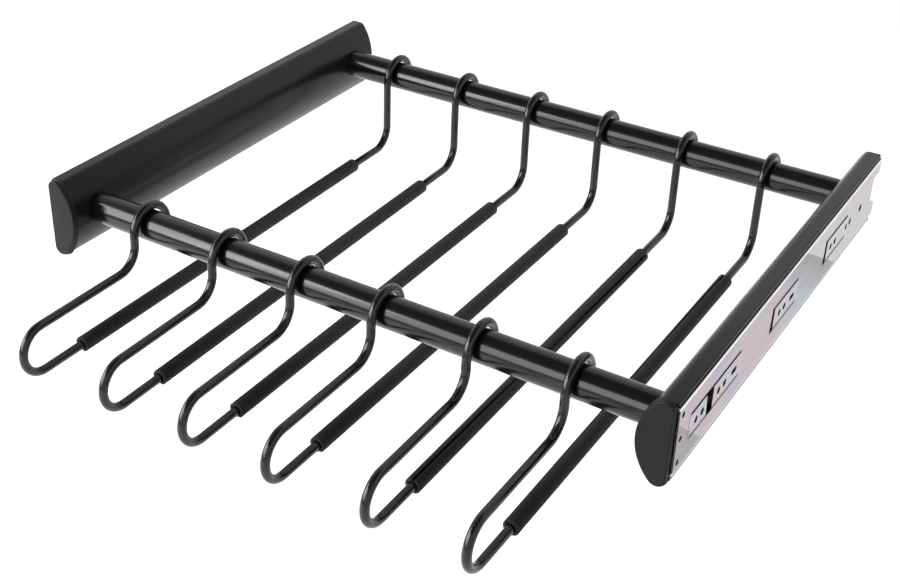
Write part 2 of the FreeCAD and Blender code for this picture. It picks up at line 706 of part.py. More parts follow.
SLIDE_SCREWS = (SLIDE_FRONT + S["SlideScrewInset"], SLIDE_FRONT + S["SlideLength"] / 2,
                SLIDE_REAR - S["SlideScrewInset"])
parts = []
for name, side in SIDES:
    parts.append(cabinet_member(name + "_cabinet_member", side))
    parts.append(intermediate_member(name + "_intermediate_member", side))
    parts.append(drawer_member(name + "_drawer_member", side))
    parts.append(ball_cage(name + "_outer_ball_cage", side, OUT_CAGE, OUT_BALL))
    parts.append(ball_cage(name + "_inner_ball_cage", side, IN_CAGE, IN_BALL))
    parts.append(ball_rows(name + "_outer_balls", side, OUT_BALL))
    parts.append(ball_rows(name + "_inner_balls", side, IN_BALL))
    parts.append(rear_buffer(name + "_rear_buffer", side))
    parts.append(cage_stops(name + "_cage_stops", side))


# ---------------------------------------------------------------- rails and caps
def side_rail(label, side):
    """The D-section extrusion with the slide's channel in its flat side."""
    body = make_body(label)
    pad_y(body, label + "_extrusion", [rail_outline(side), chamber_outline(side)],
          RAIL_FRONT, RAIL_REAR)
    inside = sorted((across(side, CHAMBER), across(side, CROWN + 1)), key=lambda d: d.v)
    cut_x(body, label + "_tube_holes",
          [("circle", y, ZERO, TUBE_R + S["TubeGap"]) for y in (TUBE_FRONT, TUBE_REAR)], *inside)
    floor = sorted((across(side, CHANNEL_FLOOR - 1), across(side, CHAMBER + 0.2)), key=lambda d: d.v)
    cut_x(body, label + "_screw_holes",
          [("circle", y, ZERO, S["ScrewSize"] / 2 + S["ScrewGap"]) for y in (TUBE_FRONT, TUBE_REAR)]
          + [("circle", y, ZERO, S["ScrewSize"] / 2 + S["ThreadGap"]) for y in SLIDE_SCREWS], *floor)
    return body


def front_cap(label, side):
    """A moulded cap: a plate with a rounded rim, two collars behind it with a groove
    in front of each, and a lug inside the rail."""
    body = make_body(label)
    front = -S["CapFace"]
    plate_back = front + S["CapPlate"]
    collar = (RAIL_FRONT - plate_back) / 2 - S["CapGroove"]
    pad_y(body, label + "_plate", [cap_outline(side)], front, plate_back)
    round_edges(body, label + "_rim", S["CapEdge"],
                lambda e: abs(e.BoundBox.YMin - front.v) < 1e-6 and abs(e.BoundBox.YMax - front.v) < 1e-6)
    y = plate_back
    for n in (1, 2):
        pad_y(body, label + "_groove%d" % n, [cap_outline(side, S["CapGrooveDepth"])], y, y + S["CapGroove"])
        y = y + S["CapGroove"]
        pad_y(body, label + "_collar%d" % n, [cap_outline(side)], y, y + collar)
        y = y + collar
    pad_y(body, label + "_lug", [chamber_outline(side, S["LugGap"])], RAIL_FRONT, RAIL_FRONT + S["LugLength"])
    return body


def rear_cap(label, side):
    """A thin cap on the rail's rear end, open where the slide passes."""
    body = make_body(label)
    rear = RAIL_REAR + S["RearCapPlate"]
    step = rear - S["RearCapEdge"]
    pad_y(body, label + "_plate", [rail_outline(side)], RAIL_REAR, step)
    pad_y(body, label + "_rim", [rail_outline(side, S["RearCapEdge"])], step, rear)
    pad_y(body, label + "_lug", [chamber_outline(side, S["LugGap"])], RAIL_REAR - S["LugLength"], RAIL_REAR)
    return body


for name, side in SIDES:
    parts.append(side_rail(name + "_side_rail", side))
    parts.append(front_cap(name + "_front_cap", side))
    parts.append(rear_cap(name + "_rear_cap", side))


# ---------------------------------------------------------------- cross tubes
def cross_tube(label, y):
    body = make_body(label)
    pad_x(body, label + "_wall",
          [("circle", y, ZERO, TUBE_R), ("circle", y, ZERO, TUBE_R - S["TubeWall"])],
          -TUBE_END, TUBE_END)
    return body


def tube_plug(label, side, y):
    """The plug in a tube's end, tapped for the screw from the rail."""
    body = make_body(label)
    ends = (TUBE_END - S["PlugLength"], TUBE_END) if side > 0 else (-TUBE_END, S["PlugLength"] - TUBE_END)
    pad_x(body, label + "_turned",
          [("circle", y, ZERO, TUBE_R - S["TubeWall"] - S["PlugGap"]),
           ("circle", y, ZERO, S["ScrewSize"] / 2 + S["ThreadGap"])], *ends)
    return body


def screw_group(label, places, length):
    """Pan-head screws with a hexagon socket. places gives side, the u of the seat
    under the head, and y."""
    screws = []
    for n, (side, seat, y) in enumerate(places, 1):
        body = make_body("%s_%d" % (label, n))
        head = sorted((across(side, seat - S["HeadHeight"]), across(side, seat)), key=lambda d: d.v)
        pad_x(body, body.Label + "_head", [("circle", y, ZERO, S["HeadSize"] / 2)], *head)
        shank = sorted((across(side, seat), across(side, seat + length)), key=lambda d: d.v)
        pad_x(body, body.Label + "_shank", [("circle", y, ZERO, S["ScrewSize"] / 2)], *shank)
        top = seat - S["HeadHeight"]
        socket = sorted((across(side, top), across(side, top + S["SocketDepth"])), key=lambda d: d.v)
        a, b = S["SocketSize"] / 2, S["SocketSize"] * (0.5 / math.sqrt(3))
        cut_x(body, body.Label + "_socket",
              [("path", [(y + b * 2, ZERO), (y + b, a), (y - b, a), (y - b * 2, ZERO), (y - b, -a), (y + b, -a)])],
              *socket)
        screws.append(body)
    group = doc.addObject("Part::Compound", "Group_" + label)
    group.Label = label
    group.Links = screws
    return group


for name, y in (("front", TUBE_FRONT), ("rear", TUBE_REAR)):
    parts.append(cross_tube(name + "_tube", y))
    for hand, side in SIDES:
        parts.append(tube_plug("%s_%s_tube_plug" % (hand, name), side, y))
parts.append(screw_group("tube_screws", [(side, CHANNEL_FLOOR, y) for _, side in SIDES
                                         for y in (TUBE_FRONT, TUBE_REAR)], S["TubeScrew"]))
parts.append(screw_group("slide_screws", [(side, DRAWER_WEB, y) for _, side in SIDES
                                          for y in SLIDE_SCREWS], S["SlideScrew"]))

# ---------------------------------------------------------------- hangers
R = S["WireBend"]
HOOK_Z = TUBE_R + S["HookGap"] + S["WireSize"] / 2 - R
UPPER_Z = -S["UpperRun"]
LOWER_Z = UPPER_Z - R * 2
NOSE_Y = TUBE_FRONT - S["NoseReach"] + R
REAR_Y = TUBE_REAR - R * 2
END_X = HALF - CROWN - S["EndSpace"]


def hanger_x(n):
    """Evenly spread between the rails, each a little off its place."""
    return END_X * (-1 + 2 * (n - 1) / (HANGERS - 1)) + S["Nudge%d" % n]


def stand(body, n):
    """Puts a hanger's piece at its place across the rack, a little askew."""
    bind(body, "Placement.Base.x", hanger_x(n))
    bind(body, "Placement.Rotation.Angle", S["Turn%d" % n])


def hanger(label, n):
    """One bent wire: a hook over the front tube, forward to the nose, back under both
    tubes, and up to a hook over the rear tube."""
    body = make_body(label)
    spine = new_sketch(body, label + "_path", "YZ_Plane")
    reach = (R * R - S["HookTail"] * S["HookTail"]).root()
    pts = [(TUBE_FRONT + reach, HOOK_Z - S["HookTail"]), (TUBE_FRONT, HOOK_Z + R),
           (TUBE_FRONT - R, HOOK_Z), (TUBE_FRONT - R, UPPER_Z + R), (TUBE_FRONT - R * 2, UPPER_Z),
           (NOSE_Y, UPPER_Z), (NOSE_Y - R, UPPER_Z - R), (NOSE_Y, LOWER_Z),
           (REAR_Y, LOWER_Z), (REAR_Y + R, LOWER_Z + R), (REAR_Y + R, HOOK_Z),
           (TUBE_REAR, HOOK_Z + R), (TUBE_REAR + reach, HOOK_Z - S["HookTail"])]
    front, rear = (TUBE_FRONT, HOOK_Z, R), (TUBE_REAR, HOOK_Z, R)
    nose = (NOSE_Y, UPPER_Z - R, R)
    draw_path(spine, pts, {0: front, 1: front, 3: (TUBE_FRONT - R * 2, UPPER_Z + R, R),
                           5: nose, 6: nose, 8: (REAR_Y, LOWER_Z + R, R), 10: rear, 11: rear},
              closed=False)
    doc.recompute()
    ring = body.newObject("Sketcher::SketchObject", label + "_wire")
    ring.AttachmentSupport = [(spine, "Edge1")]
    ring.MapMode = "NormalToEdge"
    draw_circle(ring, ZERO, ZERO, S["WireSize"] / 2)
    pipe = body.newObject("PartDesign::AdditivePipe", label + "_bent")
    pipe.Profile = ring
    pipe.Spine = spine
    round_edges(body, label + "_ends", S["WireEdge"],
                lambda e: e.Curve.TypeId == "Part::GeomCircle" and e.isClosed()
                and e.CenterOfMass.z < HOOK_Z.v and e.CenterOfMass.y > TUBE_FRONT.v
                and abs(e.CenterOfMass.z - (HOOK_Z - S["HookTail"]).v) < 1e-3)
    stand(body, n)
    return body


def sleeve(label, n):
    """The rubber sleeve on the lower wire, slit along its length. The section is
    drawn with the slit underneath and then turned."""
    body = make_body(label)
    ro = S["SleeveSize"] / 2
    ri = S["WireSize"] / 2 + S["SleeveGap"]
    h = S["SleeveSlit"] / 2
    zo, zi = (ro * ro - h * h).root(), (ri * ri - h * h).root()
    outer, inner = (ZERO, ZERO, ro), (ZERO, ZERO, ri)
    start = TUBE_FRONT - S["SleeveLead"]
    pad_y(body, label + "_tube",
          [("path", [(h, -zo), (ro, ZERO), (ZERO, ro), (-ro, ZERO), (-h, -zo),
                     (-h, -zi), (-ri, ZERO), (ZERO, ri), (ri, ZERO), (h, -zi)],
            {0: outer, 1: outer, 2: outer, 3: outer, 5: inner, 6: inner, 7: inner, 8: inner})],
          start, start + S["SleeveLength"])
    section = body.Tip.Profile[0]
    bind(section, "AttachmentOffset.Base.y", LOWER_Z)
    bind(section, "AttachmentOffset.Rotation.Angle", S["Slit%d" % n])
    stand(body, n)
    return body


for n in range(1, HANGERS + 1):
    parts.append(hanger("hanger_%d" % n, n))
    parts.append(sleeve("sleeve_%d" % n, n))

# ---------------------------------------------------------------- check and write
doc.recompute()
for obj in doc.Objects:
    if "Invalid" in obj.State or "Error" in obj.State:
        raise RuntimeError("%s did not build: %s" % (obj.Label, obj.State))
    if obj.TypeId == "Sketcher::SketchObject" and obj.solve() != 0:
        raise RuntimeError("%s does not solve" % obj.Label)
SOLIDS = {"outer_balls": 2 * BALLS, "inner_balls": 2 * BALLS, "cage_stops": 2,
          "tube_screws": 4, "slide_screws": 6}
for part in parts:
    shape = part.Shape
    wanted = next((k for tail, k in SOLIDS.items() if part.Label.endswith(tail)), 1)
    if shape.isNull() or not shape.isValid() or len(shape.Solids) != wanted:
        raise RuntimeError("%s is not %d valid solid(s)" % (part.Label, wanted))

os.makedirs("parts", exist_ok=True)
for part in parts:
    part.Shape.exportStep("parts/%s.step" % part.Label)
print("%d nodes written" % len(parts))
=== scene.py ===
# %% [markdown]
# # A pull-out trouser rack
# The rack is two black side rails on ball-bearing slides, two glossy cross tubes and six
# bent-wire hangers with rubber sleeves. Its exact solids come from a CAD model, and this
# lesson dresses them: every piece keeps its place and moves with the body it belongs to.
# X points to the right, Y to the rear and Z up. All lengths are in metres; the small ones
# are written in millimetres and multiplied by MM.

# %% Load the packed solids
import math
import bmesh
import bpy
from mathutils import Euler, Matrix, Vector


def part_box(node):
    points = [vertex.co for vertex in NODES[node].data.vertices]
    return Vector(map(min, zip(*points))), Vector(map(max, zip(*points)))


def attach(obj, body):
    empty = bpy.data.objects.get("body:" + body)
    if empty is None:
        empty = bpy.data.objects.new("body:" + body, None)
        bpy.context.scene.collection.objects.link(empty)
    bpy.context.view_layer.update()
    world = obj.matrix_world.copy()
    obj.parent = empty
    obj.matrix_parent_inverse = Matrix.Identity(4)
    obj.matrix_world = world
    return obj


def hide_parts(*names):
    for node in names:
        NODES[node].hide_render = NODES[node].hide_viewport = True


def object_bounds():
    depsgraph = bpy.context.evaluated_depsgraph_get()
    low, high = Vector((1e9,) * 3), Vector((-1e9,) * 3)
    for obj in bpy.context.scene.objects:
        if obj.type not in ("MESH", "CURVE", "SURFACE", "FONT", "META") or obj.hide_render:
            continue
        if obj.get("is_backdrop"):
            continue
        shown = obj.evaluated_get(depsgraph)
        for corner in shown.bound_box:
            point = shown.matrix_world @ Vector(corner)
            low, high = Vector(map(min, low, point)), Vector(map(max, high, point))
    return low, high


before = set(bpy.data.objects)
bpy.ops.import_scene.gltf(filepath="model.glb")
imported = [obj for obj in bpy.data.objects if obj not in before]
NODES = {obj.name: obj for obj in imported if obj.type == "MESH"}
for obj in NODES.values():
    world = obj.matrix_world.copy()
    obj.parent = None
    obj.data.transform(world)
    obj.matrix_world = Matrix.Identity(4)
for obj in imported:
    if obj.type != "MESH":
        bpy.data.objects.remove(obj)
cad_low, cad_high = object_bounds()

MM = 0.001
SIDES = ("left", "right")
HANGERS = range(1, 7)
print("nodes:", len(NODES), "box in mm:",
      [round((b - a) / MM, 1) for a, b in zip(cad_low, cad_high)])

# %% [markdown]
# ## The camera
# A product picture is framed before it is lit, because gloss only works from one side.
# The eye stands to the right of the front and about thirty degrees above, with a normal
# lens. The rack is centred by a small shift of the lens. Turning the camera would centre
# it too, but every angle in the picture would change with it.

# %% Set the camera
EYE = Vector((0.4197, -0.5742, 0.4601))
TURN = [math.radians(a) for a in (59.698, -0.892, 32.723)]
SENSOR_MM, FOCAL_MM = 36.0, 56.607
SHIFT_X, SHIFT_Y = 0.0453, -0.0485
NEAR, FAR = 0.02, 60.0
FRONT_TUBE_MIDDLE = Vector((0, 0.024, 0))

camera = bpy.data.objects.new("camera", bpy.data.cameras.new("camera"))
bpy.context.scene.collection.objects.link(camera)
camera.location = EYE
camera.rotation_euler = Euler(TURN)
camera.data.sensor_width, camera.data.lens = SENSOR_MM, FOCAL_MM
camera.data.shift_x, camera.data.shift_y = SHIFT_X, SHIFT_Y
camera.data.clip_start, camera.data.clip_end = NEAR, FAR
bpy.context.scene.camera = camera
print("camera to front tube:", round((EYE - FRONT_TUBE_MIDDLE).length, 3), "m")

# %% [markdown]
# ## A short way to write node graphs
# The light of the room and every finish are node graphs, and all are wired by the same
# moves: add a node, set its sockets by name, link what comes out of another node. Each
# move takes three or four lines of Blender's own calls, and the idea of a finish would
# drown in them. So a small class does the moves, and a finish reads like a recipe.

# %% Recipes of nodes
class Recipe:
    """Adds nodes to a tree. A value may be a plain number or another node's output."""

    def __init__(self, tree, coordinates):
        self.tree = tree
        self.here = self.add("TexCoord", coordinates)

    def put(self, node, sockets):
        for key, value in sockets.items():
            if isinstance(value, bpy.types.NodeSocket):
                self.tree.links.new(value, node.inputs[key])
            else:
                node.inputs[key].default_value = value

    def add(self, kind, out=0, sockets=None, **settings):
        node = self.tree.nodes.new("ShaderNode" + kind)
        for key, value in settings.items():
            setattr(node, key, value)
        self.put(node, sockets or {})
        return node.outputs[out]

    def math(self, how, a, b=0.0, c=0.0):
        return self.add("Math", sockets={0: a, 1: b, 2: c}, operation=how)

    def times(self, a, b):
        return self.math("MULTIPLY", a, b)

    def spread(self, value, low, high, start=0.3, end=0.7, **settings):
        """Maps start to end, or else the middle of a noise, onto low to high."""
        return self.add("MapRange", "Result", {"Value": value, "From Min": start, "From Max": end,
                                               "To Min": low, "To Max": high}, **settings)

    def rise(self, value, start, end):
        """0 up to start and 1 from end on."""
        return self.spread(value, 0.0, 1.0, start, end)

    def fall(self, value, start, end):
        """1 up to start and 0 from end on."""
        return self.spread(value, 1.0, 0.0, start, end)


print("moves:", [name for name in vars(Recipe) if not name.startswith("_")])

# %% [markdown]
# ## The studio
# Black gloss shows nothing of its own, only what stands round it. So the studio is two
# soft boxes side by side at the front left, which draw the long bright band on every tube
# and, as the second is weaker, let it fade to the right. A white room stands round them,
# with a dim patch of ceiling, which keeps the upper side of each tube black. A picture of
# a real studio would light the rack too, but the edges of two lamps and a patch can be
# placed one by one.

# %% The white room and its dim ceiling
CEILING_DIM, CEILING_AXIS = 0.16, (0.0, -0.17, 0.985)
CEILING_RIM, CEILING_CORE = math.radians(50), math.radians(30)

world = bpy.data.worlds.new("white_room")
bpy.context.scene.world = world
world.use_nodes = True
room = Recipe(world.node_tree, "Generated")
toward = room.add("VectorMath", "Value", {0: room.here, 1: CEILING_AXIS},
                  operation="DOT_PRODUCT")
glow = room.spread(toward, 1.0, CEILING_DIM, math.cos(CEILING_RIM), math.cos(CEILING_CORE),
                   interpolation_type="SMOOTHSTEP")
room.put(world.node_tree.nodes["Background"], {"Color": (1, 1, 1, 1), "Strength": glow})
print("ceiling strength:", CEILING_DIM)

# %% Lamps
LAMP_AIM = Vector((0, 0.12, 0))
LAMP_DISTANCE, LAMP_ELEVATION, LAMP_HEIGHT = 1.9, 21, 1.15


def soft_box(name, azimuth, width, radiance):
    """A rectangle of light that faces the rack. Azimuth 0 is the front, to the left is minus."""
    a, e = math.radians(azimuth), math.radians(LAMP_ELEVATION)
    away = Vector((math.sin(a) * math.cos(e), -math.cos(a) * math.cos(e), math.sin(e)))
    lamp = bpy.data.lights.new(name, "AREA")
    lamp.shape, lamp.size, lamp.size_y = "RECTANGLE", width, LAMP_HEIGHT
    lamp.energy = radiance * math.pi * width * LAMP_HEIGHT
    box = bpy.data.objects.new(name, lamp)
    bpy.context.scene.collection.objects.link(box)
    box.location = LAMP_AIM + away * LAMP_DISTANCE
    box.rotation_euler = away.to_track_quat("Z", "Y").to_euler()
    print(name, "gives", round(lamp.energy, 1), "W")


soft_box("front_left_box", azimuth=-52, width=1.25, radiance=8.2)
soft_box("front_box", azimuth=-22, width=1.15, radiance=4.6)

# %% [markdown]
# ## Finishes
# A finish is one Principled shader with a recipe of noises and masks in front of it. Its
# coordinates are the object's own, in metres, so grain and scratches keep their real size
# and stay on the piece when it moves. Painted images could do the same, but each piece
# would have to be unwrapped first, and an image blurs when the camera comes close.

# %% What a finish can do
class Finish(Recipe):
    """A material of one Principled shader. In a socket's name, _ stands for a blank."""

    def __init__(self, name, color, rough, **sockets):
        self.mat = bpy.data.materials.new(name)
        self.mat.use_nodes = True
        self.mat.diffuse_color = (*color, 1)
        super().__init__(self.mat.node_tree, "Object")
        self.shader = self.tree.nodes["Principled BSDF"]
        self.set(Base_Color=(*color, 1), Roughness=rough, **sockets)

    def set(self, **sockets):
        self.put(self.shader, {key.replace("_", " "): value for key, value in sockets.items()})

    def axes(self):
        """The three coordinates as separate numbers."""
        parts = self.add("SeparateXYZ", "X", {"Vector": self.here}).node.outputs
        return parts["X"], parts["Y"], parts["Z"]

    def noise(self, scale, detail=3.0, rough=0.5, drawn=None):
        """A noise; drawn scales its coordinates along each axis, so under 1 draws it out."""
        at = self.here
        if drawn:
            at = self.add("VectorMath", sockets={0: at, 1: drawn}, operation="MULTIPLY")
        return self.add("TexNoise", "Fac", {"Vector": at, "Scale": scale, "Detail": detail,
                                            "Roughness": rough})

    def mix(self, fac, a, b):
        """Colour a where fac is 0 and b where it is 1; either may be three plain numbers."""
        a, b = ((*tone, 1) if isinstance(tone, tuple) else tone for tone in (a, b))
        return self.add("Mix", 2, {0: fac, 6: a, 7: b}, data_type="RGBA")

    def ramp(self, fac, stops):
        """Blends through colours, each given with the value at which it stands."""
        out = self.add("ValToRGB", "Color", {"Fac": fac})
        bar = out.node.color_ramp
        while len(bar.elements) < len(stops):
            bar.elements.new(0.5)
        for mark, (place, tone) in zip(bar.elements, stops):
            mark.position, mark.color = place, (*tone, 1)
        return out

    def edges(self, width_mm):
        """1 near convex edges: the bevel normal turns away from the true one there."""
        soft = self.add("Bevel", "Normal", {"Radius": width_mm * MM}, samples=6)
        true = self.add("NewGeometry", "Normal")
        agree = self.add("VectorMath", "Value", {0: soft, 1: true}, operation="DOT_PRODUCT")
        return self.fall(agree, 0.80, 0.995)

    def bump(self, height, depth_mm):
        """Raises the surface by a pattern; stacks on a bump that is already there."""
        normal = self.shader.inputs["Normal"]
        below = [link.from_socket for link in self.tree.links if link.to_socket == normal]
        sockets = {"Height": height, "Distance": depth_mm * MM, "Strength": 1.0}
        if below:
            sockets["Normal"] = below[0]
        self.set(Normal=self.add("Bump", "Normal", sockets))


def wear(finish, *names):
    """Gives nodes this finish in every material slot."""
    for name in names:
        mesh = NODES[name].data
        mesh.materials.clear()
        mesh.materials.append(finish.mat)
    print(finish.mat.name, "on", ", ".join(names))


print("moves of a finish:", [name for name in vars(Finish) if not name.startswith("_")])

# %% [markdown]
# ### Stoved black lacquer, on the cross tubes
# Lacquer is a deep black under a clear, slightly rippled skin. A flat black with a low
# roughness looks like plastic, so two ripples are laid on: a slow one that bends the long
# reflection, as sprayed lacquer does, and a fine one for the skin. Where the hooks are
# pushed to and fro they rub the top of the tube, so it has faint rings and a duller line
# there. The rings are a noise drawn out round the tube, kept to its upper side by a mask
# made from the height.

# %% Lacquer on the tubes
LACQUER, DUST = (0.0035, 0.0035, 0.0038), (0.03, 0.03, 0.029)
TUBE_TOP = (7.5 * MM, 10.4 * MM)
RUB_DULLS = 0.12

lacquer = Finish("black_lacquer", LACQUER, rough=0.16, IOR=1.42)
height = lacquer.axes()[2]
rings = lacquer.rise(lacquer.noise(900, drawn=(1, 0.03, 0.03)), 0.52, 0.70)
rubbed = lacquer.times(lacquer.rise(height, *TUBE_TOP), rings)
skin = lacquer.spread(lacquer.noise(260, detail=4), low=0.13, high=0.19)
lacquer.set(Roughness=lacquer.math("MULTIPLY_ADD", rubbed, RUB_DULLS, skin))
dust = lacquer.rise(lacquer.noise(2100, detail=2), 0.74, 0.80)
lacquer.set(Base_Color=lacquer.mix(dust, LACQUER, DUST))
lacquer.bump(lacquer.noise(90, detail=2, drawn=(0.35, 1, 1)), depth_mm=0.05)
lacquer.bump(lacquer.noise(1100, detail=2), depth_mm=0.004)
lacquer.bump(rubbed, depth_mm=0.004)
wear(lacquer, "front_tube", "rear_tube")

# %% [markdown]
# ### The same lacquer on the bent wire
# A wire is bent before it is coated. The bending leaves slow waves in its surface, so the
# reflections on the hangers break up more than on the tubes, and handling leaves duller
# scuffs along the wire. It could share the tubes' finish, but that one is drawn out along
# X, as the tubes run, and the wires run along Y. So the wire has a recipe of its own.

# %% Lacquer on the wire
SCUFF_DULLS = 0.08

wire_lacquer = Finish("black_lacquer_on_wire", LACQUER, rough=0.14, IOR=1.45)
scuff = wire_lacquer.rise(wire_lacquer.noise(700, detail=4, drawn=(1, 0.25, 1)), 0.58, 0.72)
skin = wire_lacquer.spread(wire_lacquer.noise(300, detail=4), low=0.09, high=0.19)
wire_lacquer.set(Roughness=wire_lacquer.math("MULTIPLY_ADD", scuff, SCUFF_DULLS, skin))
dust = wire_lacquer.rise(wire_lacquer.noise(2300, detail=2), 0.73, 0.80)
wire_lacquer.set(Base_Color=wire_lacquer.mix(dust, LACQUER, DUST))
wire_lacquer.bump(wire_lacquer.noise(150, detail=2, drawn=(1, 0.4, 1)), depth_mm=0.03)
wire_lacquer.bump(wire_lacquer.noise(1300, detail=2), depth_mm=0.003)
wear(wire_lacquer, *["hanger_%d" % k for k in HANGERS])

# %% [markdown]
# ### Satin black aluminium, on the rails
# An extruded rail is pressed through a die, etched and dyed. The die leaves hair lines
# along the rail and the etching makes it satin. An anisotropic shader would stretch the
# highlight, but it shows no single line. So the grain is one noise drawn out fifty times
# along the rail, used for the roughness and a very shallow bump. Handling polishes a rail
# in long patches, which a second, slower noise lays over it. The edges are painted
# lighter: a thin painted highlight runs along all of them, and it is stronger in spots
# where the dye wore off as the rail was pushed into its carton. A thin strip along the
# lower outer corner is bright metal, a painted highlight on the lip. The front of the
# rail, where hands reach, has a waxy film and shines less.

# %% Rail
DYED_DARK, DYED_LIGHT = (0.0055, 0.0055, 0.0055), (0.0085, 0.0085, 0.0083)
# Colours painted on the edges and the lower lip: grey for worn dye and edge highlight, bright
# metal for the lip's painted highlight.
WORN_DYE_AND_EDGE_HIGHLIGHT, LIP_HIGHLIGHT_METAL = (0.05, 0.05, 0.05), (0.93, 0.93, 0.93)
LIP_HIGHLIGHT_OUTSIDE, LIP_HIGHLIGHT_BELOW = (221.6 * MM, 222.2 * MM), (-25.9 * MM, -25.3 * MM)
WAXED = (5 * MM, 110 * MM)

rail_skin = Finish("satin_black_aluminium", (0.008, 0.008, 0.008), rough=0.28, IOR=1.33)
x, y, z = rail_skin.axes()
die_lines = rail_skin.noise(1500, drawn=(1, 0.02, 1))
handled = rail_skin.noise(38, drawn=(1, 0.35, 1))
dye = rail_skin.ramp(handled, [(0.3, DYED_DARK), (0.7, DYED_LIGHT)])
# Painted highlight: every edge is lightened a little, and more in spots where the dye is worn
# off.
edge_highlight_and_nicks = rail_skin.noise(420, detail=4, drawn=(1, 0.2, 1))
edge_highlight_and_nicks = rail_skin.spread(edge_highlight_and_nicks, low=0.25, high=1.0, start=0.45, end=0.66)
dye = rail_skin.mix(rail_skin.times(rail_skin.edges(width_mm=0.4), edge_highlight_and_nicks), dye, WORN_DYE_AND_EDGE_HIGHLIGHT)
# Painted highlight: a thin strip of bright metal along the lower outer corner.
outside = rail_skin.rise(rail_skin.math("ABSOLUTE", x), *LIP_HIGHLIGHT_OUTSIDE)
lip_highlight = rail_skin.times(outside, rail_skin.fall(z, *LIP_HIGHLIGHT_BELOW))
rail_skin.set(Base_Color=rail_skin.mix(lip_highlight, dye, LIP_HIGHLIGHT_METAL), Metallic=lip_highlight)
satin = rail_skin.spread(die_lines, low=0.22, high=0.30)
polish = rail_skin.spread(handled, low=0.02, high=-0.03)
rail_skin.set(Roughness=rail_skin.math("ADD", satin, polish))
rail_skin.set(Specular_IOR_Level=rail_skin.spread(y, 0.28, 0.48, *WAXED))
rail_skin.bump(die_lines, depth_mm=0.005)
rail_skin.bump(rail_skin.noise(2600, detail=2), depth_mm=0.003)
wear(rail_skin, "left_side_rail", "right_side_rail")

# %% [markdown]
# ### Moulded black plastic, on the end caps
# The mould of such a cap is spark-eroded, so the plastic has a fine even grain. The grain
# is far finer than any mesh of the cap could be, and so it is a bump. The rim is rubbed
# smoother and shines a little more than the face, and slow flow marks from the moulding
# wander over both.

# %% Caps
FLOW_DARK, FLOW_LIGHT = (0.0038, 0.0038, 0.0038), (0.0054, 0.0054, 0.0052)
WORN_RIM, RIM_SMOOTHS = (0.022, 0.022, 0.021), -0.14

cap_skin = Finish("grained_black_plastic", (0.005, 0.005, 0.005), rough=0.5, IOR=1.28)
rim = cap_skin.edges(width_mm=0.8)
flow = cap_skin.ramp(cap_skin.noise(60, detail=2, drawn=(1, 1, 0.4)),
                     [(0.3, FLOW_DARK), (0.7, FLOW_LIGHT)])
cap_skin.set(Base_Color=cap_skin.mix(rim, flow, WORN_RIM))
grain = cap_skin.noise(1800, detail=2)
matt = cap_skin.spread(grain, low=0.42, high=0.56)
cap_skin.set(Roughness=cap_skin.math("MULTIPLY_ADD", rim, RIM_SMOOTHS, matt))
cap_skin.bump(grain, depth_mm=0.02)
wear(cap_skin, *["%s_%s_cap" % (s, e) for s in SIDES for e in ("front", "rear")])

# %% [markdown]
# ### Zinc plate, on the slides
# Bright zinc is a grey metal under a thin passivation film, and the film's thickness
# decides its colour: pale pink, lilac, blue or green in broad clouds. The clouds are a
# slow noise that picks from those tints. Everything else on a slide sits at a known
# place, and could be painted there. Masks made from the coordinates are used instead,
# because they stay sharp and serve all six members. Three small helpers make them: one
# between two places, one from the outermost face inwards, one in front of a slanting line.

# %% Zinc: tints and masks
FILM_TINTS = [(0.32, (0.30, 0.43, 0.42)), (0.42, (0.38, 0.39, 0.44)), (0.49, (0.47, 0.35, 0.42)),
              (0.54, (0.46, 0.38, 0.38)), (0.59, (0.36, 0.34, 0.47)), (0.68, (0.31, 0.44, 0.37))]
WALL = round(cad_high[0] / MM, 2)
MASK_EDGE = 0.12

zinc = Finish("bright_zinc_plate", (0.50, 0.51, 0.52), rough=0.3, Metallic=1.0)
x, y, z = zinc.axes()
across, above = zinc.math("ABSOLUTE", x), zinc.math("ABSOLUTE", z)
warp = zinc.noise(26, rough=0.6)
tints = zinc.ramp(zinc.noise(13, detail=4, rough=0.6, drawn=(1, 0.55, 1.5)), FILM_TINTS)


def between(value, low, high, soft=MASK_EDGE):
    """1 where a coordinate lies between two places in mm, 0 outside."""
    return zinc.times(zinc.rise(value, low * MM, (low + soft) * MM),
                      zinc.fall(value, (high - soft) * MM, high * MM))


def down_to(depth):
    """1 from the outermost face, beside the cabinet wall, down to a depth in mm."""
    return zinc.rise(across, (WALL - depth) * MM, (WALL - depth + MASK_EDGE) * MM)


def slanting(along, lean, soft, wander):
    """1 in front of a line that leans across the web, falling to 0 over soft mm."""
    bent = zinc.math("MULTIPLY_ADD", warp, wander * MM, y)
    place = zinc.math("MULTIPLY_ADD", z, lean, bent)
    start = along + wander / 2
    return zinc.fall(place, start * MM, (start + soft) * MM)


print("tints of the film:", len(FILM_TINTS), "outermost face at", WALL, "mm")

# %% [markdown]
# The outer face gets painted light and shade: a darker crisp corner at the front, and a
# darker slanting band that deepens towards the rear and then ends at a sharp line,
# behind which the face is painted lightest. Only the outer face gets them. Small stains
# lie over all of it.

# %% Zinc: painted light and shade on the outer face
PAINTED_SHADE_TONE, PAINTED_LIGHT_TONE, STAIN = (0.22, 0.205, 0.225), (0.66, 0.66, 0.65), (0.36, 0.37, 0.38)
CORNER_SHADE_SHARE, REAR_LIGHT_SHARE, STAIN_SHARE = 0.8, 0.42, 0.2
FACE_DEPTH = 0.8

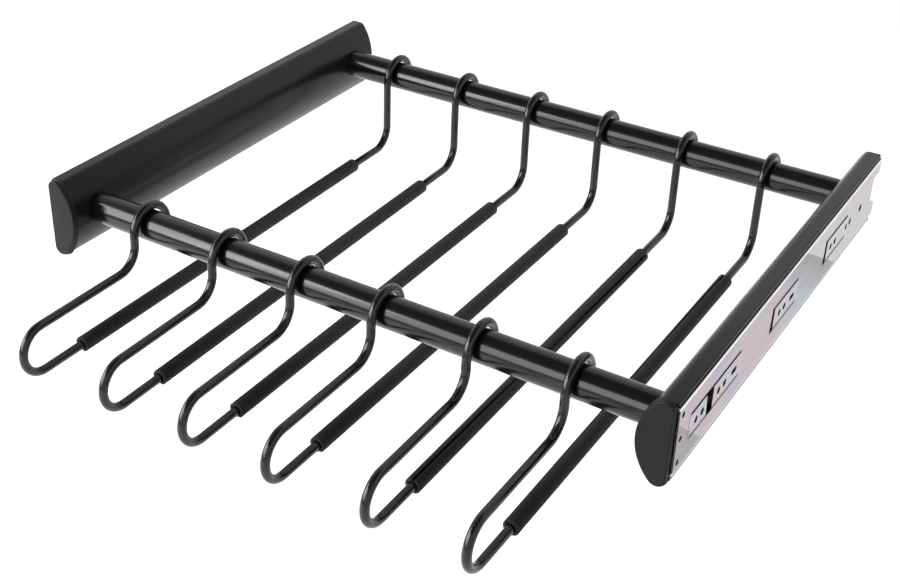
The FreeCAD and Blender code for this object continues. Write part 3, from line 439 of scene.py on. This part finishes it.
# Painted shade in front of the corner line and in the slanting band; painted light behind the
# sharp line.
before_corner = slanting(along=15.5, lean=1.18, soft=1.0, wander=1.5)
before_band = slanting(along=182, lean=1.73, soft=44, wander=10)
before_line = slanting(along=233, lean=1.73, soft=2.0, wander=3)
band = zinc.times(zinc.math("SUBTRACT", 1.0, before_band), before_line)
dark = zinc.math("MAXIMUM", zinc.times(before_corner, CORNER_SHADE_SHARE), band)
light = zinc.math("MULTIPLY_ADD", before_line, -REAR_LIGHT_SHARE, REAR_LIGHT_SHARE)
outer_face = down_to(FACE_DEPTH)
plate = zinc.mix(zinc.times(outer_face, dark), tints, PAINTED_SHADE_TONE)
plate = zinc.mix(zinc.times(outer_face, light), plate, PAINTED_LIGHT_TONE)
stains = zinc.rise(zinc.noise(330, detail=5, rough=0.65), 0.60, 0.72)
plate = zinc.mix(zinc.times(stains, STAIN_SHARE), plate, STAIN)
print("zones of the outer face: a front corner, a band and a light rear end")

# %% [markdown]
# The curled edges get a painted highlight, nearly white where the bend turns up towards
# the light. The raised tongues are tinted pale blue-grey in patches. Other edges are
# rubbed a little too. All this is laid on before the painted shade of the next cell,
# because that covers it.

# %% Zinc: painted highlight on the curled edges, tinted tongues and rubbed edges
TONGUE_TINT, CURL_HIGHLIGHT, RUBBED = (0.50, 0.60, 0.58), (0.96, 0.97, 0.97), (0.70, 0.71, 0.71)
CURL_HIGHLIGHT_SHARE, EDGE_SHARE = 0.9, 0.3
WEB_HALF, CURL_END = 20.4, 23.2
TONGUE_DEPTH, CURL_DEPTH = 0.12, 3.0

# The raised tongues are tinted pale blue-grey in patches.
thin = zinc.spread(zinc.noise(90), low=0.0, high=0.6)
plate = zinc.mix(zinc.times(down_to(TONGUE_DEPTH), thin), plate, TONGUE_TINT)
# Painted highlight on the curled edges, where the bend turns up towards the light.
curl_highlight = zinc.times(between(above, WEB_HALF, CURL_END, soft=0.5), down_to(CURL_DEPTH))
plate = zinc.mix(zinc.times(curl_highlight, CURL_HIGHLIGHT_SHARE), plate, CURL_HIGHLIGHT)
plate = zinc.mix(zinc.times(zinc.edges(width_mm=0.3), EDGE_SHARE), plate, RUBBED)
print("curled edge from", WEB_HALF, "to", CURL_END, "mm off the middle")

# %% [markdown]
# The sheared walls of slits and holes are painted dark, a painted shade in the holes. The
# same painted shade lies beside the slits that free each screw tongue, and along the
# crest close under the rail, in the gap. Rolling leaves faint lines along the strip.
# They are a noise drawn out along Y, as on the rail.

# %% Zinc: painted shade and rolling lines
# Colours of the painted shade: in the sheared walls, beside the slits and along the crest.
WALL_SHADE, SLIT_SHADE, CREST_SHADE = (0.03, 0.055, 0.065), (0.008, 0.020, 0.028), (0.012, 0.012, 0.012)
WALL_SHADE_SHARE, SLIT_SHADE_SHARE, STAIN_DULLS = 0.92, 0.97, 0.08
WALL_DEPTH, SLIT_DEPTH, CREST_DEPTH = (1.14, 0.28), 1.14, 2.6
TONGUES = ((19, 91), (141.8, 186), (238.9, 283.3))
UPPER_SLIT, LOWER_SLIT, CREST = (7.4, 9.6), (-8.8, -6.1), (22.05, 24.0)

# Painted shade on the sheared walls of slits and holes.
on_web = zinc.fall(above, (WEB_HALF - MASK_EDGE) * MM, WEB_HALF * MM)
sheared = zinc.times(between(across, *[WALL - depth for depth in WALL_DEPTH]), on_web)
plate = zinc.mix(zinc.times(sheared, WALL_SHADE_SHARE), plate, WALL_SHADE)
# Painted shade: dark strips beside the slits that free each screw tongue.
beside = 0.0
for tongue in TONGUES:
    beside = zinc.math("MAXIMUM", beside, between(y, *tongue))
slits = zinc.math("MAXIMUM", between(z, *UPPER_SLIT), between(z, *LOWER_SLIT))
slits = zinc.times(zinc.times(slits, beside), down_to(SLIT_DEPTH))
plate = zinc.mix(zinc.times(slits, SLIT_SHADE_SHARE), plate, SLIT_SHADE)
# Painted shade along the crest, in the gap close under the rail.
crest = zinc.times(between(z, *CREST, soft=0.25), down_to(CREST_DEPTH))
zinc.set(Base_Color=zinc.mix(crest, plate, CREST_SHADE))
rolling = zinc.noise(1400, drawn=(1, 0.015, 1))
sheen = zinc.spread(rolling, low=0.24, high=0.36)
zinc.set(Roughness=zinc.math("MULTIPLY_ADD", stains, STAIN_DULLS, sheen))
zinc.bump(rolling, depth_mm=0.003)
zinc.bump(zinc.noise(70, detail=2), depth_mm=0.03)
MEMBERS = ("cabinet", "intermediate", "drawer")
wear(zinc, *["%s_%s_member" % (s, m) for s in SIDES for m in MEMBERS])

# %% [markdown]
# ### The small metal inside the slides
# The ball cages are stamped from plain strip, with the oily grey that strip keeps. The
# balls are ground and polished, with a film of grease. The plugs are turned, so their
# rings run round the tube's axis, and the screws are blackened, with the black worn off
# their edges. One grey for all would be quicker, and most of it is hidden, but the slides
# open. So each finish takes one noise in the direction in which the tool went, because
# that is what tells steel parts apart.

# %% Cages
STRIP_TONES = [(0.3, (0.30, 0.30, 0.31)), (0.55, (0.42, 0.42, 0.43)), (0.75, (0.46, 0.44, 0.41))]

strip = Finish("plain_steel_strip", (0.42, 0.42, 0.43), rough=0.36, Metallic=1.0)
oil = strip.noise(120, detail=4, drawn=(1, 0.5, 1))
strip.set(Base_Color=strip.ramp(oil, STRIP_TONES))
strip.set(Roughness=strip.spread(oil, low=0.28, high=0.42))
strip.bump(strip.noise(1600, detail=2, drawn=(1, 0.02, 1)), depth_mm=0.004)
wear(strip, *["%s_%s_ball_cage" % (s, c) for s in SIDES for c in ("outer", "inner")])

# %% Balls
BALL_STEEL, GREASE = (0.72, 0.72, 0.74), (0.55, 0.53, 0.47)
POLISHED, GREASE_DULLS = 0.06, 0.22

ball = Finish("polished_ball", BALL_STEEL, rough=0.08, Metallic=1.0)
grease = ball.rise(ball.noise(700), 0.50, 0.65)
ball.set(Roughness=ball.math("MULTIPLY_ADD", grease, GREASE_DULLS, POLISHED))
ball.set(Base_Color=ball.mix(grease, BALL_STEEL, GREASE))
wear(ball, *["%s_%s_balls" % (s, c) for s in SIDES for c in ("outer", "inner")])

# %% Plugs
TURNED_DARK, TURNED_LIGHT = (0.29, 0.29, 0.30), (0.40, 0.40, 0.41)

plug = Finish("turned_steel", (0.35, 0.35, 0.36), rough=0.3, Metallic=1.0)
turned = plug.noise(2200, detail=2, drawn=(1, 0.05, 0.05))
plug.set(Roughness=plug.spread(turned, low=0.22, high=0.38))
plug.set(Base_Color=plug.ramp(turned, [(0.3, TURNED_DARK), (0.7, TURNED_LIGHT)]))
plug.bump(turned, depth_mm=0.01)
wear(plug, *["%s_%s_tube_plug" % (s, e) for s in SIDES for e in ("front", "rear")])

# %% Screws
BLACKENED, WORN_STEEL = (0.09, 0.09, 0.10), (0.45, 0.45, 0.46)

screw = Finish("black_zinc_screw", (0.10, 0.10, 0.105), rough=0.33, Metallic=1.0)
worn = screw.spread(screw.noise(900), low=0.2, high=1.0)
worn = screw.times(screw.edges(width_mm=0.25), worn)
screw.set(Base_Color=screw.mix(worn, BLACKENED, WORN_STEEL))
screw.set(Roughness=screw.spread(screw.noise(1200), low=0.27, high=0.42))
wear(screw, "tube_screws", "slide_screws")

# %% [markdown]
# ### Nylon stops and rubber buffers
# The cage stops are moulded nylon, smooth with a soft sheen. The buffers are rubber, with
# the powdery bloom that sulphur leaves on new rubber. One black could serve both, but
# nylon shines where rubber is chalky. So the noise goes into the nylon's roughness, and
# into the colour of the buffers.

# %% Nylon
nylon = Finish("black_nylon", (0.018, 0.018, 0.018), rough=0.5)
nylon.set(Roughness=nylon.spread(nylon.noise(500), low=0.38, high=0.55))
nylon.bump(nylon.noise(900, detail=2), depth_mm=0.01)
wear(nylon, "left_cage_stops", "right_cage_stops")

# %% Buffer rubber
CLEAN_BUFFER, BLOOM = (0.012, 0.012, 0.012), (0.035, 0.035, 0.034)

buffer_rubber = Finish("black_buffer_rubber", (0.014, 0.014, 0.014), rough=0.8)
bloom = buffer_rubber.noise(260, detail=4)
bloom = buffer_rubber.ramp(bloom, [(0.4, CLEAN_BUFFER), (0.75, BLOOM)])
buffer_rubber.set(Base_Color=bloom)
buffer_rubber.bump(buffer_rubber.noise(1500), depth_mm=0.03)
wear(buffer_rubber, "left_rear_buffer", "right_rear_buffer")

# %% [markdown]
# ### Soft rubber, on the sleeves
# The sleeve keeps trousers from sliding off, so it is dull and slightly tacky: dust sticks
# to it as tiny pale specks, and fingers leave smoother patches. Its front end is painted
# darker, a painted shade that fades out towards the rear. Specks could be strewn over it
# as tiny pieces, but a noise is lighter: they are the top of a very fine one, and the
# patches the middle of a slow one, drawn out along the sleeve. The bore and the faces of
# the slit have a near black of their own without specks, a painted shade that makes the
# slit show as a dark line.

# %% Sleeve rubber
PATCH_DARK, PATCH_LIGHT = (0.021, 0.021, 0.020), (0.030, 0.030, 0.029)
FRONT_SHADE, SPECK = (0.0060, 0.0060, 0.0058), (0.16, 0.16, 0.15)
FRONT_SHADE_FADE = (-30 * MM, 90 * MM)

rubber = Finish("matt_rubber", (0.020, 0.020, 0.019), rough=0.72, IOR=1.32)
patches = rubber.noise(70, drawn=(1, 0.3, 1))
tone = rubber.ramp(patches, [(0.3, PATCH_DARK), (0.7, PATCH_LIGHT)])
# Painted shade: the front end of the sleeve is darker, fading out between -30 and 90 mm.
tone = rubber.mix(rubber.rise(rubber.axes()[1], *FRONT_SHADE_FADE), FRONT_SHADE, tone)
specks = rubber.rise(rubber.noise(2600, detail=1), 0.735, 0.77)
rubber.set(Base_Color=rubber.mix(specks, tone, SPECK))
rubber.set(Roughness=rubber.spread(patches, low=0.66, high=0.78))
rubber.bump(rubber.noise(900), depth_mm=0.02)
rubber.bump(rubber.noise(60, detail=2, drawn=(1, 0.25, 1)), depth_mm=0.12)

# Painted shade: the bore and the faces of the slit get a near black, so the slit shows as a dark
# line.
slit_shade_rubber = Finish("slit_shade_rubber", (0.002, 0.002, 0.002), rough=0.6, IOR=1.3)
slit_shade_rubber.bump(slit_shade_rubber.noise(1400, detail=2), depth_mm=0.02)
print("sleeve finishes:", rubber.mat.name, "and", slit_shade_rubber.mat.name)

# %% [markdown]
# ## The sleeves
# The solid sleeve is a straight tube with a straight slit. A real one is a soft tube that
# is split and clicked over the wire, and its slit wanders round the wire from one end to
# the other. The tube could be a curve with a bevel, but a bevel can't be open on one side
# and turn by a different amount at each end. So the C-shaped section is laid out point by
# point and swept along the wire in short steps, each step turned by its own angle. The
# lips of the slit and the two ends are rounded, because that is where rubber catches
# light. The slit closes to a hair at the wire and opens outwards, as a stretched cut does.

# %% Where each slit runs
FRONT, REAR = -50, 262
SLITS = {5: [(FRONT, 86), (20, 80), (76, 67), (116, 50), (148, 46), (180, 41), (212, 36),
             (REAR, 32)],
         6: [(FRONT, 138), (60, 131), (140, 126), (190, 118), (240, 112), (254, 104),
             (REAR, 95)]}


def slit_angle(k, y_mm):
    """Degrees from +X towards +Z at which sleeve k is split, eased between the marks."""
    underneath = [(FRONT, 262 + 7 * k), (100, 270 - 5 * k), (REAR, 275)]
    marks = SLITS.get(k, underneath)
    for (y0, a0), (y1, a1) in zip(marks, marks[1:]):
        if y_mm <= y1:
            t = max(0.0, (y_mm - y0) / (y1 - y0))
            return a0 + (a1 - a0) * t * t * (3 - 2 * t)
    return marks[-1][1]


print("slit angles at the front:", [slit_angle(k, FRONT) for k in HANGERS])

# %% The split section
SLEEVE_OUTER, SLEEVE_BORE = 5.2, 3.1
SLIT_HALF, SLIT_CLOSED, LIP = 0.75, 0.2, 0.3
BORE_OPENS, SLIT_OPENS, INNER_LIP = 0.35, 0.4, 0.6
SECTION_STEPS, LIP_STEPS = 40, 2


def round_the_slit(radius, half_gap, share):
    """The angle at a share of the way round a circle that has a gap at angle 0."""
    gap = math.asin(half_gap / radius)
    return gap + (math.tau - 2 * gap) * share


def split_section(inset):
    """The C section's outer and inner points as (radius, angle), from lip to lip."""
    outer, inner = SLEEVE_OUTER - inset, SLEEVE_BORE + inset * BORE_OPENS
    half_gap = SLIT_HALF + inset * SLIT_OPENS
    outside, inside = [], []
    for i in range(SECTION_STEPS + 1):
        steps_to_lip = min(i, SECTION_STEPS - i, LIP_STEPS)
        pull = LIP * (1 - steps_to_lip / LIP_STEPS) ** 2
        share = i / SECTION_STEPS
        outside.append((outer - pull, round_the_slit(outer, half_gap, share)))
        inside.append((inner + pull * INNER_LIP, round_the_slit(inner, SLIT_CLOSED, share)))
    return outside, inside


print("points in a section:", 2 * len(split_section(0)[0]))

# %% From faces to a piece
def place_piece(name, shape, finishes, crease):
    """Makes an object of the faces, smooth but sharp at edges beyond crease degrees."""
    bmesh.ops.recalc_face_normals(shape, faces=shape.faces)
    mesh = bpy.data.meshes.new(name)
    shape.to_mesh(mesh)
    shape.free()
    mesh.shade_smooth()
    mesh.set_sharp_from_angle(angle=math.radians(crease))
    for finish in finishes:
        mesh.materials.append(finish.mat)
    piece = bpy.data.objects.new(name, mesh)
    bpy.context.scene.collection.objects.link(piece)
    print(name, "has", len(mesh.polygons), "faces")
    return piece


# %% Measure and sweep the sleeves
SWEEP_STEP = 6.0
ROUNDED_END = [(0.0, 0.55), (0.15, 0.25), (0.5, 0.0)]
END_SLICE = 0.6


def middle_at(k, y_mm):
    """X in mm of the middle of sleeve k's solid at one of its two ends."""
    solid = NODES["sleeve_%d" % k].data
    xs = [v.co.x / MM for v in solid.vertices if abs(v.co.y / MM - y_mm) < END_SLICE]
    return (min(xs) + max(xs)) / 2


def make_sleeve(k):
    low, high = (Vector(c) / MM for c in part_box("sleeve_%d" % k))
    length, height = high.y - low.y, high.z - SLEEVE_OUTER
    x_front, x_rear = middle_at(k, low.y), middle_at(k, high.y)
    stations = list(ROUNDED_END)
    stations += [(SWEEP_STEP * n, 0.0) for n in range(1, int(length / SWEEP_STEP))]
    stations += [(length - d, inset) for d, inset in reversed(ROUNDED_END)]

    shape = bmesh.new()
    rings = []
    for d, inset in stations:
        x_mm, y_mm = x_front + (x_rear - x_front) * d / length, low.y + d
        turn = math.radians(slit_angle(k, y_mm))
        outside, inside = split_section(inset)
        rings.append([shape.verts.new(Vector((x_mm + r * math.cos(a + turn), y_mm,
                                              height + r * math.sin(a + turn))) * MM)
                      for r, a in outside + inside[::-1]])

    count, half = len(rings[0]), len(rings[0]) // 2
    for front, back in zip(rings, rings[1:]):
        for i in range(count):
            j = (i + 1) % count
            face = shape.faces.new((front[i], back[i], back[j], front[j]))
            face.material_index = 1 if i >= half - 1 else 0
    for ring in (rings[0], rings[-1]):
        for i in range(half - 1):
            shape.faces.new((ring[i], ring[i + 1], ring[count - 2 - i], ring[count - 1 - i]))
    piece = place_piece("split_sleeve_%d" % k, shape, (rubber, slit_shade_rubber), crease=50)
    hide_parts("sleeve_%d" % k)
    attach(piece, "hanger_%d" % k)


for k in HANGERS:
    make_sleeve(k)

# %% [markdown]
# ## The front caps
# The cap is the face that greets the user, so it gets more shape than a flat plate. Its
# face is a slender D with a soft rim. Behind it stand two collars with a groove in front
# of each, and they grow from the slender D to the fuller D of the rail. A bevel modifier
# can't change one outline into another, so the cap is a stack of outlines, skinned from
# front to back. Each outline has the same number of points, in the same order, and so
# any two can be blended.

# %% The D outlines
SLENDER = dict(middle=-1.35, flat=1.8, depth=20.4, height=55.4, run=5.7, shoulder=6.0, corner=5.5)
FULL = dict(middle=-1.6, flat=1.8, depth=20.6, height=56.0, run=7.3, shoulder=5.5, corner=4.4)
CORNER_STEPS, SHOULDER_STEPS, CROWN_STEPS = 8, 10, 22


def arc(cu, cv, r, start, end, steps):
    turns = [math.radians(start + (end - start) * i / steps) for i in range(steps + 1)]
    return [(cu + r * math.cos(t), cv + r * math.sin(t)) for t in turns]


def d_loop(middle, flat, depth, height, run, shoulder, corner, inset):
    """Points (from the wall, up) round a D: corner, shoulder, crown, shoulder, corner."""
    flat, depth, height = flat + inset, depth - inset * 2, height - inset * 2
    run, shoulder, corner = run - inset, shoulder - inset, corner - inset
    k, rise = depth - run, height / 2 - shoulder
    crown = (k * k + rise * rise - shoulder * shoulder) / ((k - shoulder) * 2)
    crown_middle = flat + depth - crown
    lean = math.degrees(math.atan2(rise, flat + run - crown_middle))
    top = arc(flat + corner, height / 2 - corner, corner, 180, 90, CORNER_STEPS)
    top += arc(flat + run, rise, shoulder, 90, lean, SHOULDER_STEPS)
    top += arc(crown_middle, 0, crown, lean, 0, CROWN_STEPS)[1:]
    bottom = [(u, -v) for u, v in reversed(top[:-1])]
    return [(u, v + middle) for u, v in top + bottom]


print("cap outline points:", len(d_loop(inset=0, **SLENDER)))

# %% Skin the caps
# Each row: mm behind the origin, share of the full D, mm of inset.
FACE = [(-2.90, 0, 1.35), (-2.87, 0, 0.95), (-2.74, 0, 0.50), (-2.48, 0, 0.16),
        (-2.15, 0, 0.0), (-1.66, 0, 0.0)]
FRONT_COLLAR = [(-1.58, 0.2, 0.75), (-1.22, 0.3, 0.75), (-1.14, 0.5, 0.16),
                (-0.98, 0.55, 0.0), (-0.30, 0.6, 0.0), (-0.14, 0.65, 0.16)]
REAR_COLLAR = [(-0.08, 0.75, 0.65), (0.24, 0.85, 0.65), (0.30, 1, 0.14),
               (0.44, 1, 0.0), (1.42, 1, 0.0), (1.56, 1, 0.12)]


def make_front_cap(side, sign):
    """Stacks the outlines; sign is -1 for the left cap and 1 for the right one."""
    shape = bmesh.new()
    rings = []
    for y_mm, full, inset in FACE + FRONT_COLLAR + REAR_COLLAR:
        loop = [((1 - full) * a[0] + full * b[0], (1 - full) * a[1] + full * b[1])
                for a, b in zip(d_loop(inset=inset, **SLENDER), d_loop(inset=inset, **FULL))]
        rings.append([shape.verts.new(Vector((sign * (WALL - u), y_mm, v)) * MM)
                      for u, v in loop])
    for front, back in zip(rings, rings[1:]):
        for i in range(len(front)):
            j = (i + 1) % len(front)
            shape.faces.new((front[i], back[i], back[j], front[j]))
    shape.faces.new(rings[0])
    shape.faces.new(rings[-1])
    piece = place_piece(side + "_cap_shell", shape, (cap_skin,), crease=40)
    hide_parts(side + "_front_cap")
    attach(piece, "carriage")


make_front_cap("left", -1)
make_front_cap("right", 1)

# %% [markdown]
# ## The floor
# One large white sheet, well below the rack, because a rack like this hangs in a cabinet.
# It is not part of the rack, so it is marked as stage. A sheet in this light comes out
# pale grey at its corners. More lamps would whiten it but would show in the gloss, so it
# glows a little for the rays that look at it, in the lens or in a reflection. It gives no
# more light to the rack, and it keeps the rack's soft shadow.

# %% Floor
FLOOR_Z, FLOOR_REACH, PAPER_GLOW = -0.42, 12, 0.3

sheet = bmesh.new()
bmesh.ops.create_grid(sheet, x_segments=1, y_segments=1, size=FLOOR_REACH)
floor_mesh = bpy.data.meshes.new("floor")
sheet.to_mesh(floor_mesh)
sheet.free()
floor = bpy.data.objects.new("floor", floor_mesh)
floor.location = (0, 0, FLOOR_Z)
bpy.context.scene.collection.objects.link(floor)
paper = Finish("white_floor", (0.9, 0.9, 0.9), rough=1.0, Specular_IOR_Level=0.0)
rays = paper.add("LightPath", "Is Camera Ray").node.outputs
seen = paper.math("MAXIMUM", rays["Is Camera Ray"], rays["Is Glossy Ray"])
seen = paper.math("MAXIMUM", seen, rays["Is Transmission Ray"])
paper.set(Emission_Color=(1, 1, 1, 1), Emission_Strength=paper.times(seen, PAPER_GLOW))
floor_mesh.materials.append(paper.mat)
floor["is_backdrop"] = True
print("floor at", FLOOR_Z, "m")

# %% [markdown]
# ## Finish
# The renderer's view transform is the plain one, so that a colour renders as written.
# The box of the dressed rack is written next to the box of the solids.

# %% Check the size and finish
bpy.context.scene.view_settings.view_transform = "Standard"
low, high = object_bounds()
grown = [max(a - c, d - b, 0) / MM for a, b, c, d in zip(cad_low, cad_high, low, high)]
print("grown by, in mm:", [round(g, 2) for g in grown])
